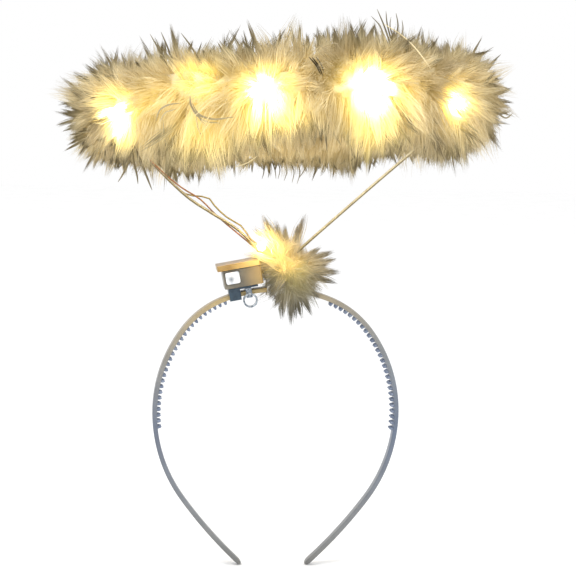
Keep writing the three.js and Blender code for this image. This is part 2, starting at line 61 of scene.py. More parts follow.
# The photograph's camera: lengths in mm, angles in degrees, and mm to a pixel in the band's plane
PHOTO_SIDE = 576
CAMERA_DISTANCE = 1200
CAMERA_AZIMUTH = -5
CAMERA_ELEVATION = 6
CAMERA_ROLL = 1.2
CAMERA_TARGET = (4.95, 0, 1.65)
PIXEL = 0.502
SENSOR = 36

# Sizes shared with the solids. An arc of the band is its share of half the band's length and the degrees
# it turns, from the crown down. A lobe of the puff is its place and size in puff radii.
HALO_RADIUS = 86
HALO_CENTRE = (3, 0, 90)
HALO_LEAN = 10
HALO_ROLL = 3.5
BOA_RADIUS = 18.5
BOA_LUMP_SHARE = 0.07
BOA_LUMPS = 7
BOA_SMALL_LUMPS = 11
BOA_SMALL_SHARE = 0.5
BOA_SMALL_TWIST = 2
RING_LIGHT_COUNT = 13
BAND_HALF_LENGTH = 187.6
BAND_THICKNESS = 2.4
BAND_CROWN_WIDTH = 9
BAND_TIP_WIDTH = 6.4
BAND_ARCS = ((0.153, 23), (0.132, 30.3), (0.257, 39.6), (0.232, 33.3), (0.226, 10.5))
TOOTH_PITCH = 3
TOOTH_ROOT = 0.5
TOOTH_ROW_SHARE = 0.26
TEETH_START = 28
TEETH_LENGTH = 78
PUFF_CENTRE = np.array([5.5, 0, 11.5])
PUFF_RADIUS = 13
PUFF_LOBES = ((0, 0, 0, 1), (-0.85, -0.1, 0.85, 0.72), (0.75, 0, -0.1, 0.75), (0.15, -0.55, -0.95, 0.55))

# The band's bar: places along it, steps of a round end and how far round it they go, corners of its
# section, and how round the section is, from 0 for a rectangle to 1 for an ellipse
BAND_STEPS = 241
BAND_END_STEPS = 8
BAND_END_SHARE = 0.985
BAND_SIDES = 28
BAND_ROUNDNESS = 0.32

# The teeth are round pegs, slimmer than the solids' pointed ones: each row of their profile is a share of
# the height and a share of the radius
TOOTH_HEIGHT = 1.9
TOOTH_RADIUS = 0.95
TOOTH_SIDES = 10
TOOTH_PROFILE = ((0.0, 1.0), (0.45, 0.9), (0.75, 0.72), (0.92, 0.45), (1.0, 0.15))

# How far the puff's light warms the band to the left and to the right in mm, and how strongly on the right
WARM_LEFT = 58
WARM_RIGHT = 50
WARM_RIGHT_SHARE = 0.75

# Tufts and the barbs in each: the ring's down by quarter, the locks round its rim and at its ends, the puff
DOWN_TUFTS, DOWN_BARBS = 860, 46
RIM_TUFTS, END_TUFTS, RIM_BARBS = 820, 200, 24
PUFF_TUFTS, PUFF_BARBS = 520, 34
PUFF_LOCK_BARBS = 90
# Each kind of tuft: how far its tufts curl, how far a tuft's barbs fan out as a share of their length, how
# far apart they stand at the root and how wide they are in mm, and how close to the tip painted shade darkens
# them
RING_DOWN = {"curl": 0.12, "spread": 0.34, "foot": 0.9, "width": 0.26, "dusk": 2.2}
RING_LOCK = {"curl": 0.2, "spread": 0.11, "foot": 0.4, "width": 0.46, "dusk": 0.8}
PUFF_DOWN = {"curl": 0.24, "spread": 0.34, "foot": 1.4, "width": 0.26, "dusk": 2.4}
PUFF_LOCK = {"curl": 0.2, "spread": 0.15, "foot": 0.8, "width": 0.34, "dusk": 1.6}
# How far tufts stray from their heading, and the shape and scale in mm of the gamma spread by which they
# grow beyond the plain form
RING_DOWN_STRAY, RING_DOWN_GROWTH = 0.24, (2.2, 1.4)
RING_LOCK_STRAY, RING_LOCK_GROWTH = 0.26, (2, 1.1)
PUFF_DOWN_STRAY, PUFF_DOWN_GROWTH = 0.38, (2, 1.0)
# How strongly weight bends tufts down, as a push on their curl or heading
RING_DROOP = (0, 0, -0.1)
PUFF_DROOP = (0, 0, -0.06)
# How strongly the ring's down hangs: everywhere, on the underside, on the near side's underside, and on
# the near side away from the lights
HANG = 0.12
HANG_UNDER = 0.25
HANG_NEAR_UNDER = 0.5
HANG_NEAR = 0.15
# How strongly tufts part round a light on the ring and on the puff, and how far round it in mm
RING_PART = 0.7
PUFF_PART = 0.6
PARTING_REACH = 18
# Lengths of a barb's blade, how much it closes in to its tuft and thins towards its tip, and the ranges of
# barbs' lengths and widths as shares of their tuft's
SEGMENTS = 3
BARB_CLOSING = 0.88
BARB_THINNING = 0.6
BARB_LENGTHS = (0.6, 1.0)
BARB_WIDTHS = (0.7, 1.3)
# How far barbs turn out of their tuft's face, and how far they differ in tone
BARB_TURN = 0.9
BARB_TONE = 0.09
# How much painted shade darkens every barb's very tip, and the most that painted shade darkens anything
TIP_PAINTED_SHADE = 0.15
MOST_PAINTED_SHADE = 0.92

# Where a tuft is rooted, as a share of the plain form's radius, in the ring's down and locks and in the
# puff's, and how long the puff's down is in the same terms
DOWN_ROOT = 0.5
LOCK_ROOT = 0.72
PUFF_ROOT = 0.35
PUFF_LOCK_ROOT = 0.3
PUFF_LENGTH = 0.6
# The soft core inside the ring's down: its grid, and its radius and roughness as shares of the ring's
CORE_GRID = (180, 28)
CORE_SHARE = 0.55
CORE_ROUGHNESS = 0.12
# Extra reach in mm of all the ring's tufts, of those at its left end and of those at its right end
REACH_ALL = 2.0
REACH_LEFT = -1.9
REACH_RIGHT = -0.8
# How much further the ring's locks reach than its down, in mm
LOCK_EXTRA = 2
# A glow hangs down: what lies below its light counts as nearer to it, and what lies above as farther. Then
# the power of its fall-off, and the most that glows add up to
GLOW_BELOW = 0.8
GLOW_ABOVE = 1.15
GLOW_FALL = 2.2
GLOW_MOST = 1.2
# The ring's tone away from its creases
RING_TONE = 0.66
# How far the fluff stands out from the ring's plain form, and how far in front of the ring's middle a
# place counts as wholly near, in mm
FLUFF_REACH = 5
NEAR_REACH = 60
# Places along a loose strand and corners round it
STRAND_STEPS = 14
STRAND_SIDES = 5
# A tuft this near to the right stem's line of sight is left out where the stem shows, in mm
STEM_ROOM = 2.2


def unit(v):
    """The same directions, at a length of 1."""
    return v / np.maximum(np.linalg.norm(v, axis=-1, keepdims=True), 1e-9)


# Camera

def camera_axes():
    """Directions to the right, up and back of the photograph's camera, and its place, in mm."""
    azimuth, elevation, roll = radians(CAMERA_AZIMUTH), radians(CAMERA_ELEVATION), radians(CAMERA_ROLL)
    back = np.array([sin(azimuth) * cos(elevation), -cos(azimuth) * cos(elevation), sin(elevation)])
    right = np.array([cos(azimuth), sin(azimuth), 0])
    up = np.cross(back, right)
    place = np.array(CAMERA_TARGET) + CAMERA_DISTANCE * back
    return right * cos(roll) + up * sin(roll), up * cos(roll) - right * sin(roll), back, place


def through(px, py, depth):
    """The point behind a pixel of the photograph at a distance behind the crown, in mm."""
    right, up, back, place = camera_axes()
    focal = CAMERA_DISTANCE / PIXEL
    ray = right * (px - PHOTO_SIDE / 2) / focal - up * (py - PHOTO_SIDE / 2) / focal - back
    return place + ray * (depth - place[1]) / ray[1]


def add_camera():
    right, up, back, place = camera_axes()
    data = bpy.data.cameras.new("photo_camera")
    data.sensor_width = SENSOR
    data.lens = SENSOR * CAMERA_DISTANCE / (PHOTO_SIDE * PIXEL)
    data.clip_end = 20
    camera = bpy.data.objects.new("photo_camera", data)
    matrix = Matrix([[right[i], up[i], back[i], place[i] * MM] for i in range(3)] + [[0, 0, 0, 1]])
    camera.matrix_world = matrix
    bpy.context.collection.objects.link(camera)
    bpy.context.scene.camera = camera


# Materials

def new_material(name, **values):
    material = bpy.data.materials.new(name)
    material.use_nodes = True
    shader = material.node_tree.nodes["Principled BSDF"]
    for key, value in values.items():
        shader.inputs[key.replace("_", " ")].default_value = value
    return material, material.node_tree, shader


def attribute(tree, name):
    node = tree.nodes.new("ShaderNodeAttribute")
    node.attribute_name = name
    return node.outputs["Fac"]


def position(tree):
    return tree.nodes.new("ShaderNodeNewGeometry").outputs["Position"]


def noise(tree, scale, detail=3):
    node = tree.nodes.new("ShaderNodeTexNoise")
    node.inputs["Scale"].default_value = scale
    node.inputs["Detail"].default_value = detail
    node.inputs["Roughness"].default_value = 0.55
    tree.links.new(tree.nodes.new("ShaderNodeTexCoord").outputs["Object"], node.inputs["Vector"])
    return node.outputs["Fac"]


def ramp(tree, source, stops):
    node = tree.nodes.new("ShaderNodeValToRGB")
    elements = node.color_ramp.elements
    while len(elements) < len(stops):
        elements.new(0.5)
    for element, (place, colour) in zip(elements, stops):
        element.position = place
        element.color = (*colour, 1)
    tree.links.new(source, node.inputs["Fac"])
    return node.outputs["Color"]


def feed(tree, socket, value):
    """Another node's output, a colour or a number, into a socket."""
    if isinstance(value, bpy.types.NodeSocket):
        tree.links.new(value, socket)
    elif isinstance(value, tuple):
        socket.default_value = (*value, 1)
    else:
        socket.default_value = value


def mixed(tree, share, first, second, mode="MIX"):
    node = tree.nodes.new("ShaderNodeMix")
    node.data_type = "RGBA"
    node.blend_type = mode
    for index, value in ((0, share), (6, first), (7, second)):
        feed(tree, node.inputs[index], value)
    return node.outputs[2]


def reckon(tree, operation, *values):
    """A sum of two or three values, kept between 0 and 1."""
    node = tree.nodes.new("ShaderNodeMath")
    node.operation = operation
    node.use_clamp = True
    for socket, value in zip(node.inputs, values):
        feed(tree, socket, value)
    return node.outputs[0]


def bumped(tree, shader, height, strength, distance):
    node = tree.nodes.new("ShaderNodeBump")
    node.inputs["Strength"].default_value = strength
    node.inputs["Distance"].default_value = distance * MM
    tree.links.new(height, node.inputs["Height"])
    tree.links.new(node.outputs["Normal"], shader.inputs["Normal"])


def down_material(name, root, middle, tip, dim):
    """Marabou with painted light and shade: lit cream and a painted glow round the lights, tan and grey-beige
    between them, with tips darkened olive-brown by painted shade.
    """
    material, tree, shader = new_material(name, Roughness=0.95, Sheen_Weight=0.08, Sheen_Roughness=0.6,
                                          Specular_IOR_Level=0.15, Emission_Strength=2.2)
    glow = attribute(tree, "glow")
    shade = attribute(tree, "shade")
    patches = noise(tree, 55, 2)
    dull = ramp(tree, patches, ((0.38, root), (0.62, middle)))
    # Painted light: the base colour turns pale yellow round the lights
    lit = mixed(tree, reckon(tree, "MULTIPLY", glow, 2.4), dull, (1.0, 0.86, 0.45))
    # Painted shade darkens the barbs' tips towards the tip colour
    tipped = mixed(tree, attribute(tree, "painted_shade"), lit, tip)
    # Painted shade of the ring's creases and the puff's underside, with each tuft's random tone, draws the
    # colour towards dim
    tone = ramp(tree, shade, ((0.0, dim), (1.0, (1.0, 1.0, 1.0))))
    tree.links.new(mixed(tree, 1.0, tipped, tone, "MULTIPLY"), shader.inputs["Base Color"])
    # Painted glow: the down itself glows round the lights, from amber to near white
    painted_glow = ramp(tree, glow, (
        (0.0, (0.035, 0.028, 0.01)), (0.12, (0.06, 0.047, 0.013)), (0.3, (0.16, 0.125, 0.034)),
        (0.48, (0.36, 0.29, 0.09)), (0.64, (0.7, 0.61, 0.3)), (0.75, (1.0, 0.97, 0.88))))
    unlit = mixed(tree, attribute(tree, "painted_shade"), painted_glow, (0.0, 0.0, 0.0))
    tree.links.new(unlit, shader.inputs["Emission Color"])
    return material


def band_material():
    """The band's grey plastic: bluer half way down, warm where the puff's light falls on it."""
    material, tree, shader = new_material("band_plastic", Roughness=0.38, Coat_Weight=0.2, Coat_Roughness=0.3)
    height = tree.nodes.new("ShaderNodeSeparateXYZ")
    tree.links.new(position(tree), height.inputs[0])
    level = reckon(tree, "MULTIPLY_ADD", height.outputs["Z"], 7.0, 0.98)
    tint = ramp(tree, level, (
        (0.0, (0.15, 0.15, 0.14)), (0.2, (0.18, 0.19, 0.2)), (0.5, (0.1, 0.13, 0.19)),
        (0.78, (0.18, 0.2, 0.22)), (1.0, (0.24, 0.24, 0.23))))
    tint = mixed(tree, attribute(tree, "warm"), tint, (0.52, 0.37, 0.12))
    cloud = ramp(tree, noise(tree, 120), ((0.3, (0.8, 0.8, 0.82)), (0.7, (1, 1, 1))))
    tree.links.new(mixed(tree, 1.0, tint, cloud, "MULTIPLY"), shader.inputs["Base Color"])
    bumped(tree, shader, noise(tree, 1500, 2), 0.3, 0.05)
    return material


def drop_material(name, roughness, dull, bright, strength, base=(0.8, 0.8, 0.8)):
    """A lit drop: warm light with a slight unevenness."""
    material, tree, shader = new_material(name, Base_Color=(*base, 1), Roughness=roughness,
                                          Emission_Strength=strength)
    warmth = ramp(tree, noise(tree, 500), ((0.3, dull), (0.7, bright)))
    tree.links.new(warmth, shader.inputs["Emission Color"])
    return material


def patch(tree, centre, reach):
    """1 at a place of the piece and 0 from so many mm away."""
    gap = tree.nodes.new("ShaderNodeVectorMath")
    gap.operation = "DISTANCE"
    tree.links.new(tree.nodes.new("ShaderNodeTexCoord").outputs["Object"], gap.inputs[0])
    gap.inputs[1].default_value = tuple(np.asarray(centre) * MM)
    return reckon(tree, "SUBTRACT", 1.0, reckon(tree, "DIVIDE", gap.outputs["Value"], reach * MM))


def plastic(name, low, high, roughness, scale=400, depth=0.04, painted_patch=None):
    """Moulded plastic: soft mottling and a fine grain, with a painted patch round one place if asked for:
    painted light on the case and cover, painted shade on the button.
    """
    material, tree, shader = new_material(name, Roughness=roughness)
    colour = ramp(tree, noise(tree, scale), ((0.35, low), (0.65, high)))
    if painted_patch:
        centre, reach, tint = painted_patch
        colour = mixed(tree, patch(tree, centre, reach), colour, tint)
    tree.links.new(colour, shader.inputs["Base Color"])
    bumped(tree, shader, noise(tree, scale * 6, 2), 0.35, depth)
    return material


def wire_material(name, under, upper):
    """Coated wire with painted light and shade: paler above, darker and duller below by which way it faces,
    with a fine uneven skin.
    """
    material, tree, shader = new_material(name, Roughness=0.35)
    facing = tree.nodes.new("ShaderNodeSeparateXYZ")
    tree.links.new(tree.nodes.new("ShaderNodeNewGeometry").outputs["Normal"], facing.inputs[0])
    level = reckon(tree, "MULTIPLY_ADD", facing.outputs["Z"], 0.5, 0.5)
    # Painted light on the top and painted shade on the underside, by the surface's facing
    painted_light_and_shade = ramp(tree, level, ((0.3, under), (0.6, upper)))
    worn = ramp(tree, noise(tree, 260), ((0.35, (0.75, 0.72, 0.66)), (0.65, (1, 1, 1))))
    tree.links.new(mixed(tree, 1.0, painted_light_and_shade, worn, "MULTIPLY"), shader.inputs["Base Color"])
    bumped(tree, shader, noise(tree, 1800, 2), 0.4, 0.05)
    return material


# Meshes

def add_mesh(name, vertices, faces, material, smooth=True, attributes=None, body="crown"):
    """A mesh from points in mm and faces of three or four corners, riding on a body."""
    mesh = bpy.data.meshes.new(name)
    vertices = np.asarray(vertices, dtype=np.float32) * MM
    loops = np.concatenate([np.ravel(block) for block in faces]).astype(np.int32)
    sizes = np.concatenate([np.full(len(block), np.shape(block)[1]) for block in faces])
    mesh.vertices.add(len(vertices))
    mesh.vertices.foreach_set("co", vertices.ravel())
    mesh.loops.add(len(loops))
    mesh.loops.foreach_set("vertex_index", loops)
    mesh.polygons.add(len(sizes))
    mesh.polygons.foreach_set("loop_start", (np.cumsum(sizes) - sizes).astype(np.int32))
    mesh.polygons.foreach_set("use_smooth", np.full(len(sizes), smooth))
    for key, values in (attributes or {}).items():
        layer = mesh.attributes.new(key, "FLOAT", "POINT")
        layer.data.foreach_set("value", np.asarray(values, dtype=np.float32).ravel())
    mesh.materials.append(material)
    mesh.update(calc_edges=True)
    mesh.validate()
    piece = bpy.data.objects.new(name, mesh)
    bpy.context.collection.objects.link(piece)
    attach(piece, body)
    return piece


def grid_faces(rows, columns, closed_rows=False):
    """Quads of a grid of points, row by row, each row closed."""
    i, j = np.meshgrid(np.arange(rows - (not closed_rows)), np.arange(columns), indexing="ij")
    k, m = (i + 1) % rows, (j + 1) % columns
    corners = (i * columns + j, i * columns + m, k * columns + m, k * columns + j)
    return np.stack(corners, axis=-1).reshape(-1, 4)


def swept(path, radii, sides):
    """Points and faces of a round bar along a path, with closed ends."""
    path = np.asarray(path, dtype=float)
    tangent = unit(np.gradient(path, axis=0))
    # Any direction across the path will do to start with
    normal = np.cross(tangent[0], (0.31, 0.84, 0.44))
    normals = []
    for t in tangent:
        normal = normal - t * (normal @ t)
        normal = normal / np.linalg.norm(normal)
        normals.append(normal)
    normals = np.array(normals)
    binormals = np.cross(tangent, normals)
    turn = np.arange(sides) / sides * 2 * pi
    radii = np.broadcast_to(radii, len(path))[:, None, None]
    ring = normals[:, None] * np.cos(turn)[None, :, None] + binormals[:, None] * np.sin(turn)[None, :, None]
    points = (path[:, None] + radii * ring).reshape(-1, 3)
    ends = np.array([np.arange(sides)[::-1], np.arange(sides) + (len(path) - 1) * sides])
    return points, [grid_faces(len(path), sides), ends]


def spline(points, count):
    """A smooth centripetal curve through the points, in equal steps."""
    points = np.asarray(points, dtype=float)
    held = np.vstack([2 * points[0] - points[1], points, 2 * points[-1] - points[-2]])
    share = np.linspace(0, 1, 24, endpoint=False)[:, None]
    runs = []
    for a, b, c, d in zip(held, held[1:], held[2:], held[3:]):
        before, across, after = (np.sqrt(np.linalg.norm(q - p)) for p, q in ((a, b), (b, c), (c, d)))
        first = ((b - a) / before - (c - a) / (before + across) + (c - b) / across) * across
        last = ((c - b) / across - (d - b) / (across + after) + (d - c) / after) * across
        cubic = 2 * b - 2 * c + first + last
        runs.append(b + share * first + share ** 2 * (3 * (c - b) - 2 * first - last) + share ** 3 * cubic)
    fine = np.vstack([*runs, points[-1:]])
    reach = np.concatenate([[0], np.cumsum(np.linalg.norm(np.diff(fine, axis=0), axis=1))])
    steps = np.linspace(0, reach[-1], count)
    return np.stack([np.interp(steps, reach, fine[:, k]) for k in range(3)], axis=-1)


# The ring's frame and the lights

LEAN = np.array(Matrix.Rotation(-radians(HALO_ROLL), 3, "Y") @ Matrix.Rotation(-radians(HALO_LEAN), 3, "X"))


def on_boa(turn, lift, distance):
    """The point at a distance from the centre of the ring's tube; turn 0 is nearest, lift 0 is outermost."""
    reach = HALO_RADIUS + distance * np.cos(lift)
    local = np.stack([reach * np.sin(turn), -reach * np.cos(turn), distance * np.sin(lift)], axis=-1)
    return local @ LEAN.T + HALO_CENTRE


def boa_radius(turn, lift):
    """Radius of the ring's tube, with its lumps."""
    small = np.sin(BOA_SMALL_LUMPS * turn + BOA_SMALL_TWIST * lift)
    return BOA_RADIUS * (1 + BOA_LUMP_SHARE * (np.sin(BOA_LUMPS * turn) + BOA_SMALL_SHARE * small))


def light_place(name):
    """The middle of a light, in mm."""
    low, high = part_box(name)
    return (np.array(low) + np.array(high)) / 2 / MM


RING_LIGHT_NAMES = [f"led_bulb_{index:02d}" for index in range(1, RING_LIGHT_COUNT + 1)]
RING_LIGHTS = np.array([light_place(name) for name in RING_LIGHT_NAMES])
PUFF_LIGHT = light_place("led_bulb_puff")
# Reach and strength of each light's glow: the second is buried, and those out of sight are alike
LIGHT_GLOWS = ((12.8, 1.05), (10, 0.42), (12, 1.05), (12.8, 1.05), (9, 1.05)) + ((10, 0.9),) * 8
# How strongly the tufts part round each light
PARTING = np.array([1, 0, 1, 1, 0.7] + [1] * 8)
# Softer lit patches between the lights: pixel of the photograph, depth, reach and strength
SOFT_GLOWS = (
    (200, 146, -90, 17, 0.36), (150, 98, -74, 9, 0.26), (302, 120, -101, 9, 0.28),
    (378, 146, -94, 18, 0.38), (410, 90, -82, 7, 0.18), (266, 140, -102, 14, 0.26),
    (206, 72, -92, 9, 0.33), (456, 140, -48, 9, 0.14), (120, 140, -62, 8, 0.12), (384, 88, -90, 8, 0.6),
)
# Glows of the puff: shift from its light in mm, reach and strength
PUFF_GLOWS = (
    ((-0.5, -1, 2), 7, 1), ((7, -3, 3), 8.5, 0.36), ((15, -8, -8), 12, 0.22), ((3, -6, -12), 6, 0.34),
    ((22, -9, -13), 12, 0.15),
)


def sources(lights, glows):
    """Rows of place, reach and strength."""
    return np.array([(*place, *glow) for place, glow in zip(lights, glows)])


RING_SOURCES = np.vstack([
    sources(RING_LIGHTS, LIGHT_GLOWS),
    sources([through(*row[:3]) for row in SOFT_GLOWS], [row[3:] for row in SOFT_GLOWS]),
])
PUFF_SOURCES = sources([PUFF_LIGHT + row[0] for row in PUFF_GLOWS], [row[1:] for row in PUFF_GLOWS])


def glow_at(points, lights):
    """How strongly the lights show at each point, from 0 to about 1: the glow hangs down a little."""
    total = np.zeros(points.shape[:-1])
    for x, y, z, reach, strength in lights:
        gap = points - (x, y, z)
        gap[..., 2] *= np.where(gap[..., 2] < 0, GLOW_BELOW, GLOW_ABOVE)
        total += strength * np.exp(-(np.linalg.norm(gap, axis=-1) / reach) ** GLOW_FALL)
    return np.clip(total, 0, GLOW_MOST)


def away_from_lights(points, normal, lights, parting):
    """Direction along the surface away from the nearest light, and how strongly it pulls."""
    gaps = points[:, None] - lights[None]
    distance = np.linalg.norm(gaps, axis=-1)
    nearest = distance.argmin(axis=1)
    gap = gaps[np.arange(len(points)), nearest]
    flat = gap - normal * np.sum(gap * normal, axis=-1, keepdims=True)
    return unit(flat), (parting[nearest] * np.exp(-(distance.min(axis=1) / PARTING_REACH) ** 2))[:, None]


# Marabou

# Extra reach of the tufts in mm by place from left to right, as (x, reach)
RING_TOP = (
    (-110, 5), (-92, 6), (-80, 5), (-70, 2), (-59, 4), (-53, 4), (-47, 1), (-31, 1),
    (-15, 3), (-8, 4), (-2, 4), (5, 1), (12, 3), (20, 4.5), (30, 4), (36, 2),
    (42, 4), (48, 7), (54, 5), (60, 2), (70, 1), (104, 2),
)
RING_BOTTOM = (
    (-105, 1), (-90, -3), (-65, -4), (-50, -1), (-30, -2), (-16, -5), (5, -6),
    (13, -6), (22, -6), (40, 1), (60, -3), (75, -5), (88, 1), (100, 1),
)
# On the near side's underside
RING_BELLY = (
    (-90, 2), (-70, 6), (-45, 11), (-20, 8), (0, 4), (18, 3), (35, 8), (60, 12), (75, 12), (95, 4),
)

# Painted shade in the creases of the near side, greyer where the lights don't reach: place from left to right
# and width in mm, and depth
CREASES = ((22.6, 8, 0.95), (71, 6, 0.7), (-25, 8, 0.4), (112, 16, 0.55), (-108, 12, 0.35))

# Where the right stem comes out in front of the puff, as a pixel of the photograph
STEM_SHOWS_FROM = (293, 251)

# Tips of the puff's larger locks: pixel of the photograph, and depth in mm
PUFF_LOCKS = (
    (262, 213, -6), (269, 220, -8), (275, 217, -6), (284, 223, -4), (252, 227, -6), (306, 212, -3),
    (298, 223, -5), (322, 246, -4), (335, 251, -2), (338, 258, 0), (329, 264, -8), (343, 273, -2),
    (339, 284, -2), (327, 281, -8), (313, 317, -6), (302, 321, -8), (291, 328, -8), (282, 322, -10),
    (274, 311, -8), (268, 300, -10), (320, 300, -6), (246, 241, -6), (249, 252, -10), (310, 260, -16),
    (292, 285, -18), (305, 290, 10), (330, 262, 10), (290, 315, 8), (262, 271, -10), (262, 279, -11),
    (264, 287, -11), (266, 294, -9), (272, 303, -5), (296, 322, -4), (308, 309, -3),
)

# Loose strands: depth in mm, or none for those that lie on the ring's near side, then darkness of painted
# shade, width in mm, and the pixels of the photograph that they pass
STRANDS = (
    (-92, 0.3, 0.5, ((235, 167), (247, 163), (260, 154))),
    (None, 0.05, 0.7, ((384, 24), (400, 34), (417, 50), (431, 69))),
    (None, 0.7, 1.0, ((190, 96), (191, 105), (197, 114), (213, 120))),
    (None, 0.65, 0.8, ((192, 103), (199, 114), (213, 119), (234, 117))),
    (None, 0.6, 0.7, ((190, 100), (194, 112), (205, 121), (220, 123))),
    (None, 0.6, 0.5, ((195, 108), (200, 119), (208, 127))),
    (None, 0.55, 0.5, ((196, 114), (198, 128), (206, 142))),
    (None, 0.6, 0.8, ((156, 121), (160, 110), (168, 105), (181, 103))),
    (None, 0.5, 0.6, ((160, 122), (165, 113), (176, 109))),
    (None, 0.6, 0.6, ((166, 146), (164, 133), (163, 120))),
    # These three dark strands are a painted shadow, standing in for a shaded pit in the down
    (None, 1.0, 0.8, ((309, 57), (316, 65), (321, 75))),
    (None, 1.0, 0.8, ((312, 57), (318, 65), (323, 76))),
    (None, 0.9, 0.6, ((316, 57), (321, 64), (324, 73))),
    (-67, 0.85, 0.9, ((177, 78), (172, 60), (167, 46), (161, 32))),
    (-64, 0.8, 0.9, ((172, 78), (166, 62), (158, 48), (150, 34))),
    (-74, 0.85, 0.9, ((207, 76), (199, 60), (190, 45), (181, 33))),
    (-68, 0.85, 0.8, ((393, 56), (389, 40), (383, 23), (377, 9))),
    (-68, 0.85, 0.7, ((390, 56), (385, 40), (380, 26), (371, 16))),
    (-68, 0.85, 0.8, ((394, 56), (391, 40), (387, 23), (386, 11))),
    (-67, 0.8, 0.7, ((396, 56), (394, 40), (390, 26), (391, 17))),
    (-67, 0.85, 0.8, ((397, 56), (396, 40), (398, 25), (396, 13))),
    (-66, 0.8, 0.7, ((398, 56), (399, 41), (403, 30), (402, 20))),
    (-20, 0.7, 0.8, ((496, 111), (506, 118), (513, 113))),
    (-54, 0.85, 1.2, ((134, 145), (141, 162), (147, 177), (152, 190))),
    (-47, 0.85, 1.1, ((132, 145), (134, 163), (137, 175), (138, 184))),
    (-42, 0.8, 1.1, ((133, 146), (128, 163), (123, 174), (118, 182))),
    (84, 0.85, 0.8, ((259, 142), (262, 157), (264, 171), (262, 179))),
    (84, 0.85, 0.8, ((264, 142), (266, 157), (269, 172), (268, 178))),
    (84, 0.8, 0.7, ((269, 142), (271, 158), (275, 170), (276, 179))),
    (84, 0.8, 0.7, ((274, 142), (276, 158), (280, 169), (278, 179))),
    (84, 0.75, 0.7, ((282, 142), (284, 158), (287, 171), (284, 181))),
    (84, 0.75, 0.7, ((286, 142), (288, 158), (294, 171), (292, 183))),
    (84, 0.75, 0.7, ((294, 142), (296, 158), (300, 172), (297, 184))),
    (84, 0.8, 0.8, ((312, 142), (310, 156), (305, 169), (299, 178))),
)


def barb_blades(root, heading, length, curl, fan, offset, width, facing):
    """Points of tapered blades: each leaves its tuft's root, bows out and closes in to the tuft's tip."""
    share = (np.arange(SEGMENTS + 1) / SEGMENTS)[None, :, None]
    length = length[:, None, None]
    bow = fan[:, None] * share * (1 - BARB_CLOSING * share)
    centre = root[:, None] + offset[:, None] * (1 - BARB_THINNING * share)
    centre = centre + length * (heading[:, None] * share + bow + curl[:, None] * share ** 2)
    side = unit(np.cross(heading, facing))[:, None]
    half = width[:, None, None] / 2 * (1 - BARB_THINNING * share[:, :-1] ** 2)
    left = centre[:, :-1] - side * half
    right = centre[:, :-1] + side * half
    return np.concatenate([np.stack([left, right], axis=2).reshape(len(root), -1, 3), centre[:, -1:]], axis=1)


def blade_faces(count):
    """Faces of so many blades: quads, and a triangle at each tip."""
    each = 2 * SEGMENTS + 1
    start = (np.arange(count) * each)[:, None]
    quad = np.array([0, 1, 3, 2])
    quads = np.concatenate([start + quad + 2 * k for k in range(SEGMENTS - 1)])
    last = start + np.array([2 * SEGMENTS - 2, 2 * SEGMENTS - 1, 2 * SEGMENTS])
    return [quads, last]


def painted_darkness(along, fringe, glow, dusk):
    """Painted shade: barbs darken to their tips, most of all on the fringe and away from the lights."""
    share = fringe * along ** dusk + TIP_PAINTED_SHADE * along ** 4
    return np.clip(share * (1 - glow), 0, MOST_PAINTED_SHADE)


def tufts(name, root, normal, heading, length, curl, each, material, lights, shade, fringe, look):
    """Tufts of barbs: one root, heading, length and curl for each tuft, and so many barbs in each."""
    count = len(root) * each
    pick = np.repeat(np.arange(len(root)), each)
    loose = rng.normal(size=(count, 3))
    heads = heading[pick]
    fan = loose - heads * np.sum(loose * heads, axis=-1, keepdims=True)
    fan *= look["spread"]
    offset = rng.normal(size=(count, 3)) * look["foot"]
    lengths = length[pick] * rng.uniform(*BARB_LENGTHS, count)
    facing = normal[pick] + BARB_TURN * rng.normal(size=(count, 3))
    width = rng.uniform(*BARB_WIDTHS, count) * look["width"]
    points = barb_blades(root[pick], heads, lengths, curl[pick], fan, offset, width, facing)
    share = np.repeat(np.arange(SEGMENTS + 1) / SEGMENTS, 2)[:-1]
    along = share[None] * (lengths / length[pick])[:, None]
    tone = np.clip(shade[pick] + rng.normal(size=count) * BARB_TONE, 0, 1)
    glow = glow_at(points, lights)
    attributes = {
        "glow": glow,
        "painted_shade": painted_darkness(along, fringe[pick][:, None], glow, look["dusk"]),
        "shade": np.broadcast_to(tone[:, None], along.shape),
    }
    return add_mesh(name, points.reshape(-1, 3), blade_faces(count), material, False, attributes)


def over_x(rows, x):
    """The second column of a table at places in its first."""
    places, values = zip(*rows)
    return np.interp(x, places, values)


def near_side(skin):
    """0 on the ring's far side to 1 on its near side."""
    return np.clip(-skin[:, 1] / NEAR_REACH, 0, 1)


def ring_extra(skin, normal):
    """How much further the tufts reach than the ring's plain form, on top, below and at the ends."""
    x, near = skin[:, 0], near_side(skin)
    up = np.clip(1.5 * normal[:, 2], 0, 1)
    down = np.clip(-1.5 * normal[:, 2], 0, 1)
    left = np.clip(-3 * normal[:, 0] - 1.5, 0, 1)
    right = np.clip(3 * normal[:, 0] - 1.5, 0, 1)
    return (REACH_ALL + up * over_x(RING_TOP, x) + down * (1 - near) * over_x(RING_BOTTOM, x)
            + down * near * over_x(RING_BELLY, x) + REACH_LEFT * left + REACH_RIGHT * right)


def ring_tone(skin):
    """Lighter and greyer stretches: painted shade greys the creases between lit parts of the near side."""
    x, near = skin[:, 0], skin[:, 1] < 0
    creases = sum(depth * np.exp(-((x - place) / wide) ** 2) for place, wide, depth in CREASES)
    return RING_TONE - near * creases


def ring_fringe(skin, normal):
    """How strongly painted shade darkens the tips: 1 for tufts on the ring's top and underside and at its
    ends, 0 for those on its front and back.
    """
    steep = np.clip((np.abs(normal[:, 2]) - 0.5) / 0.4, 0, 1)
    steep = steep * np.where((normal[:, 2] < 0) & (skin[:, 1] < 0), 0.6, 1)
    ends = np.clip((np.abs(normal[:, 0]) - 0.72) / 0.25, 0, 1)
    return np.maximum(steep, ends)


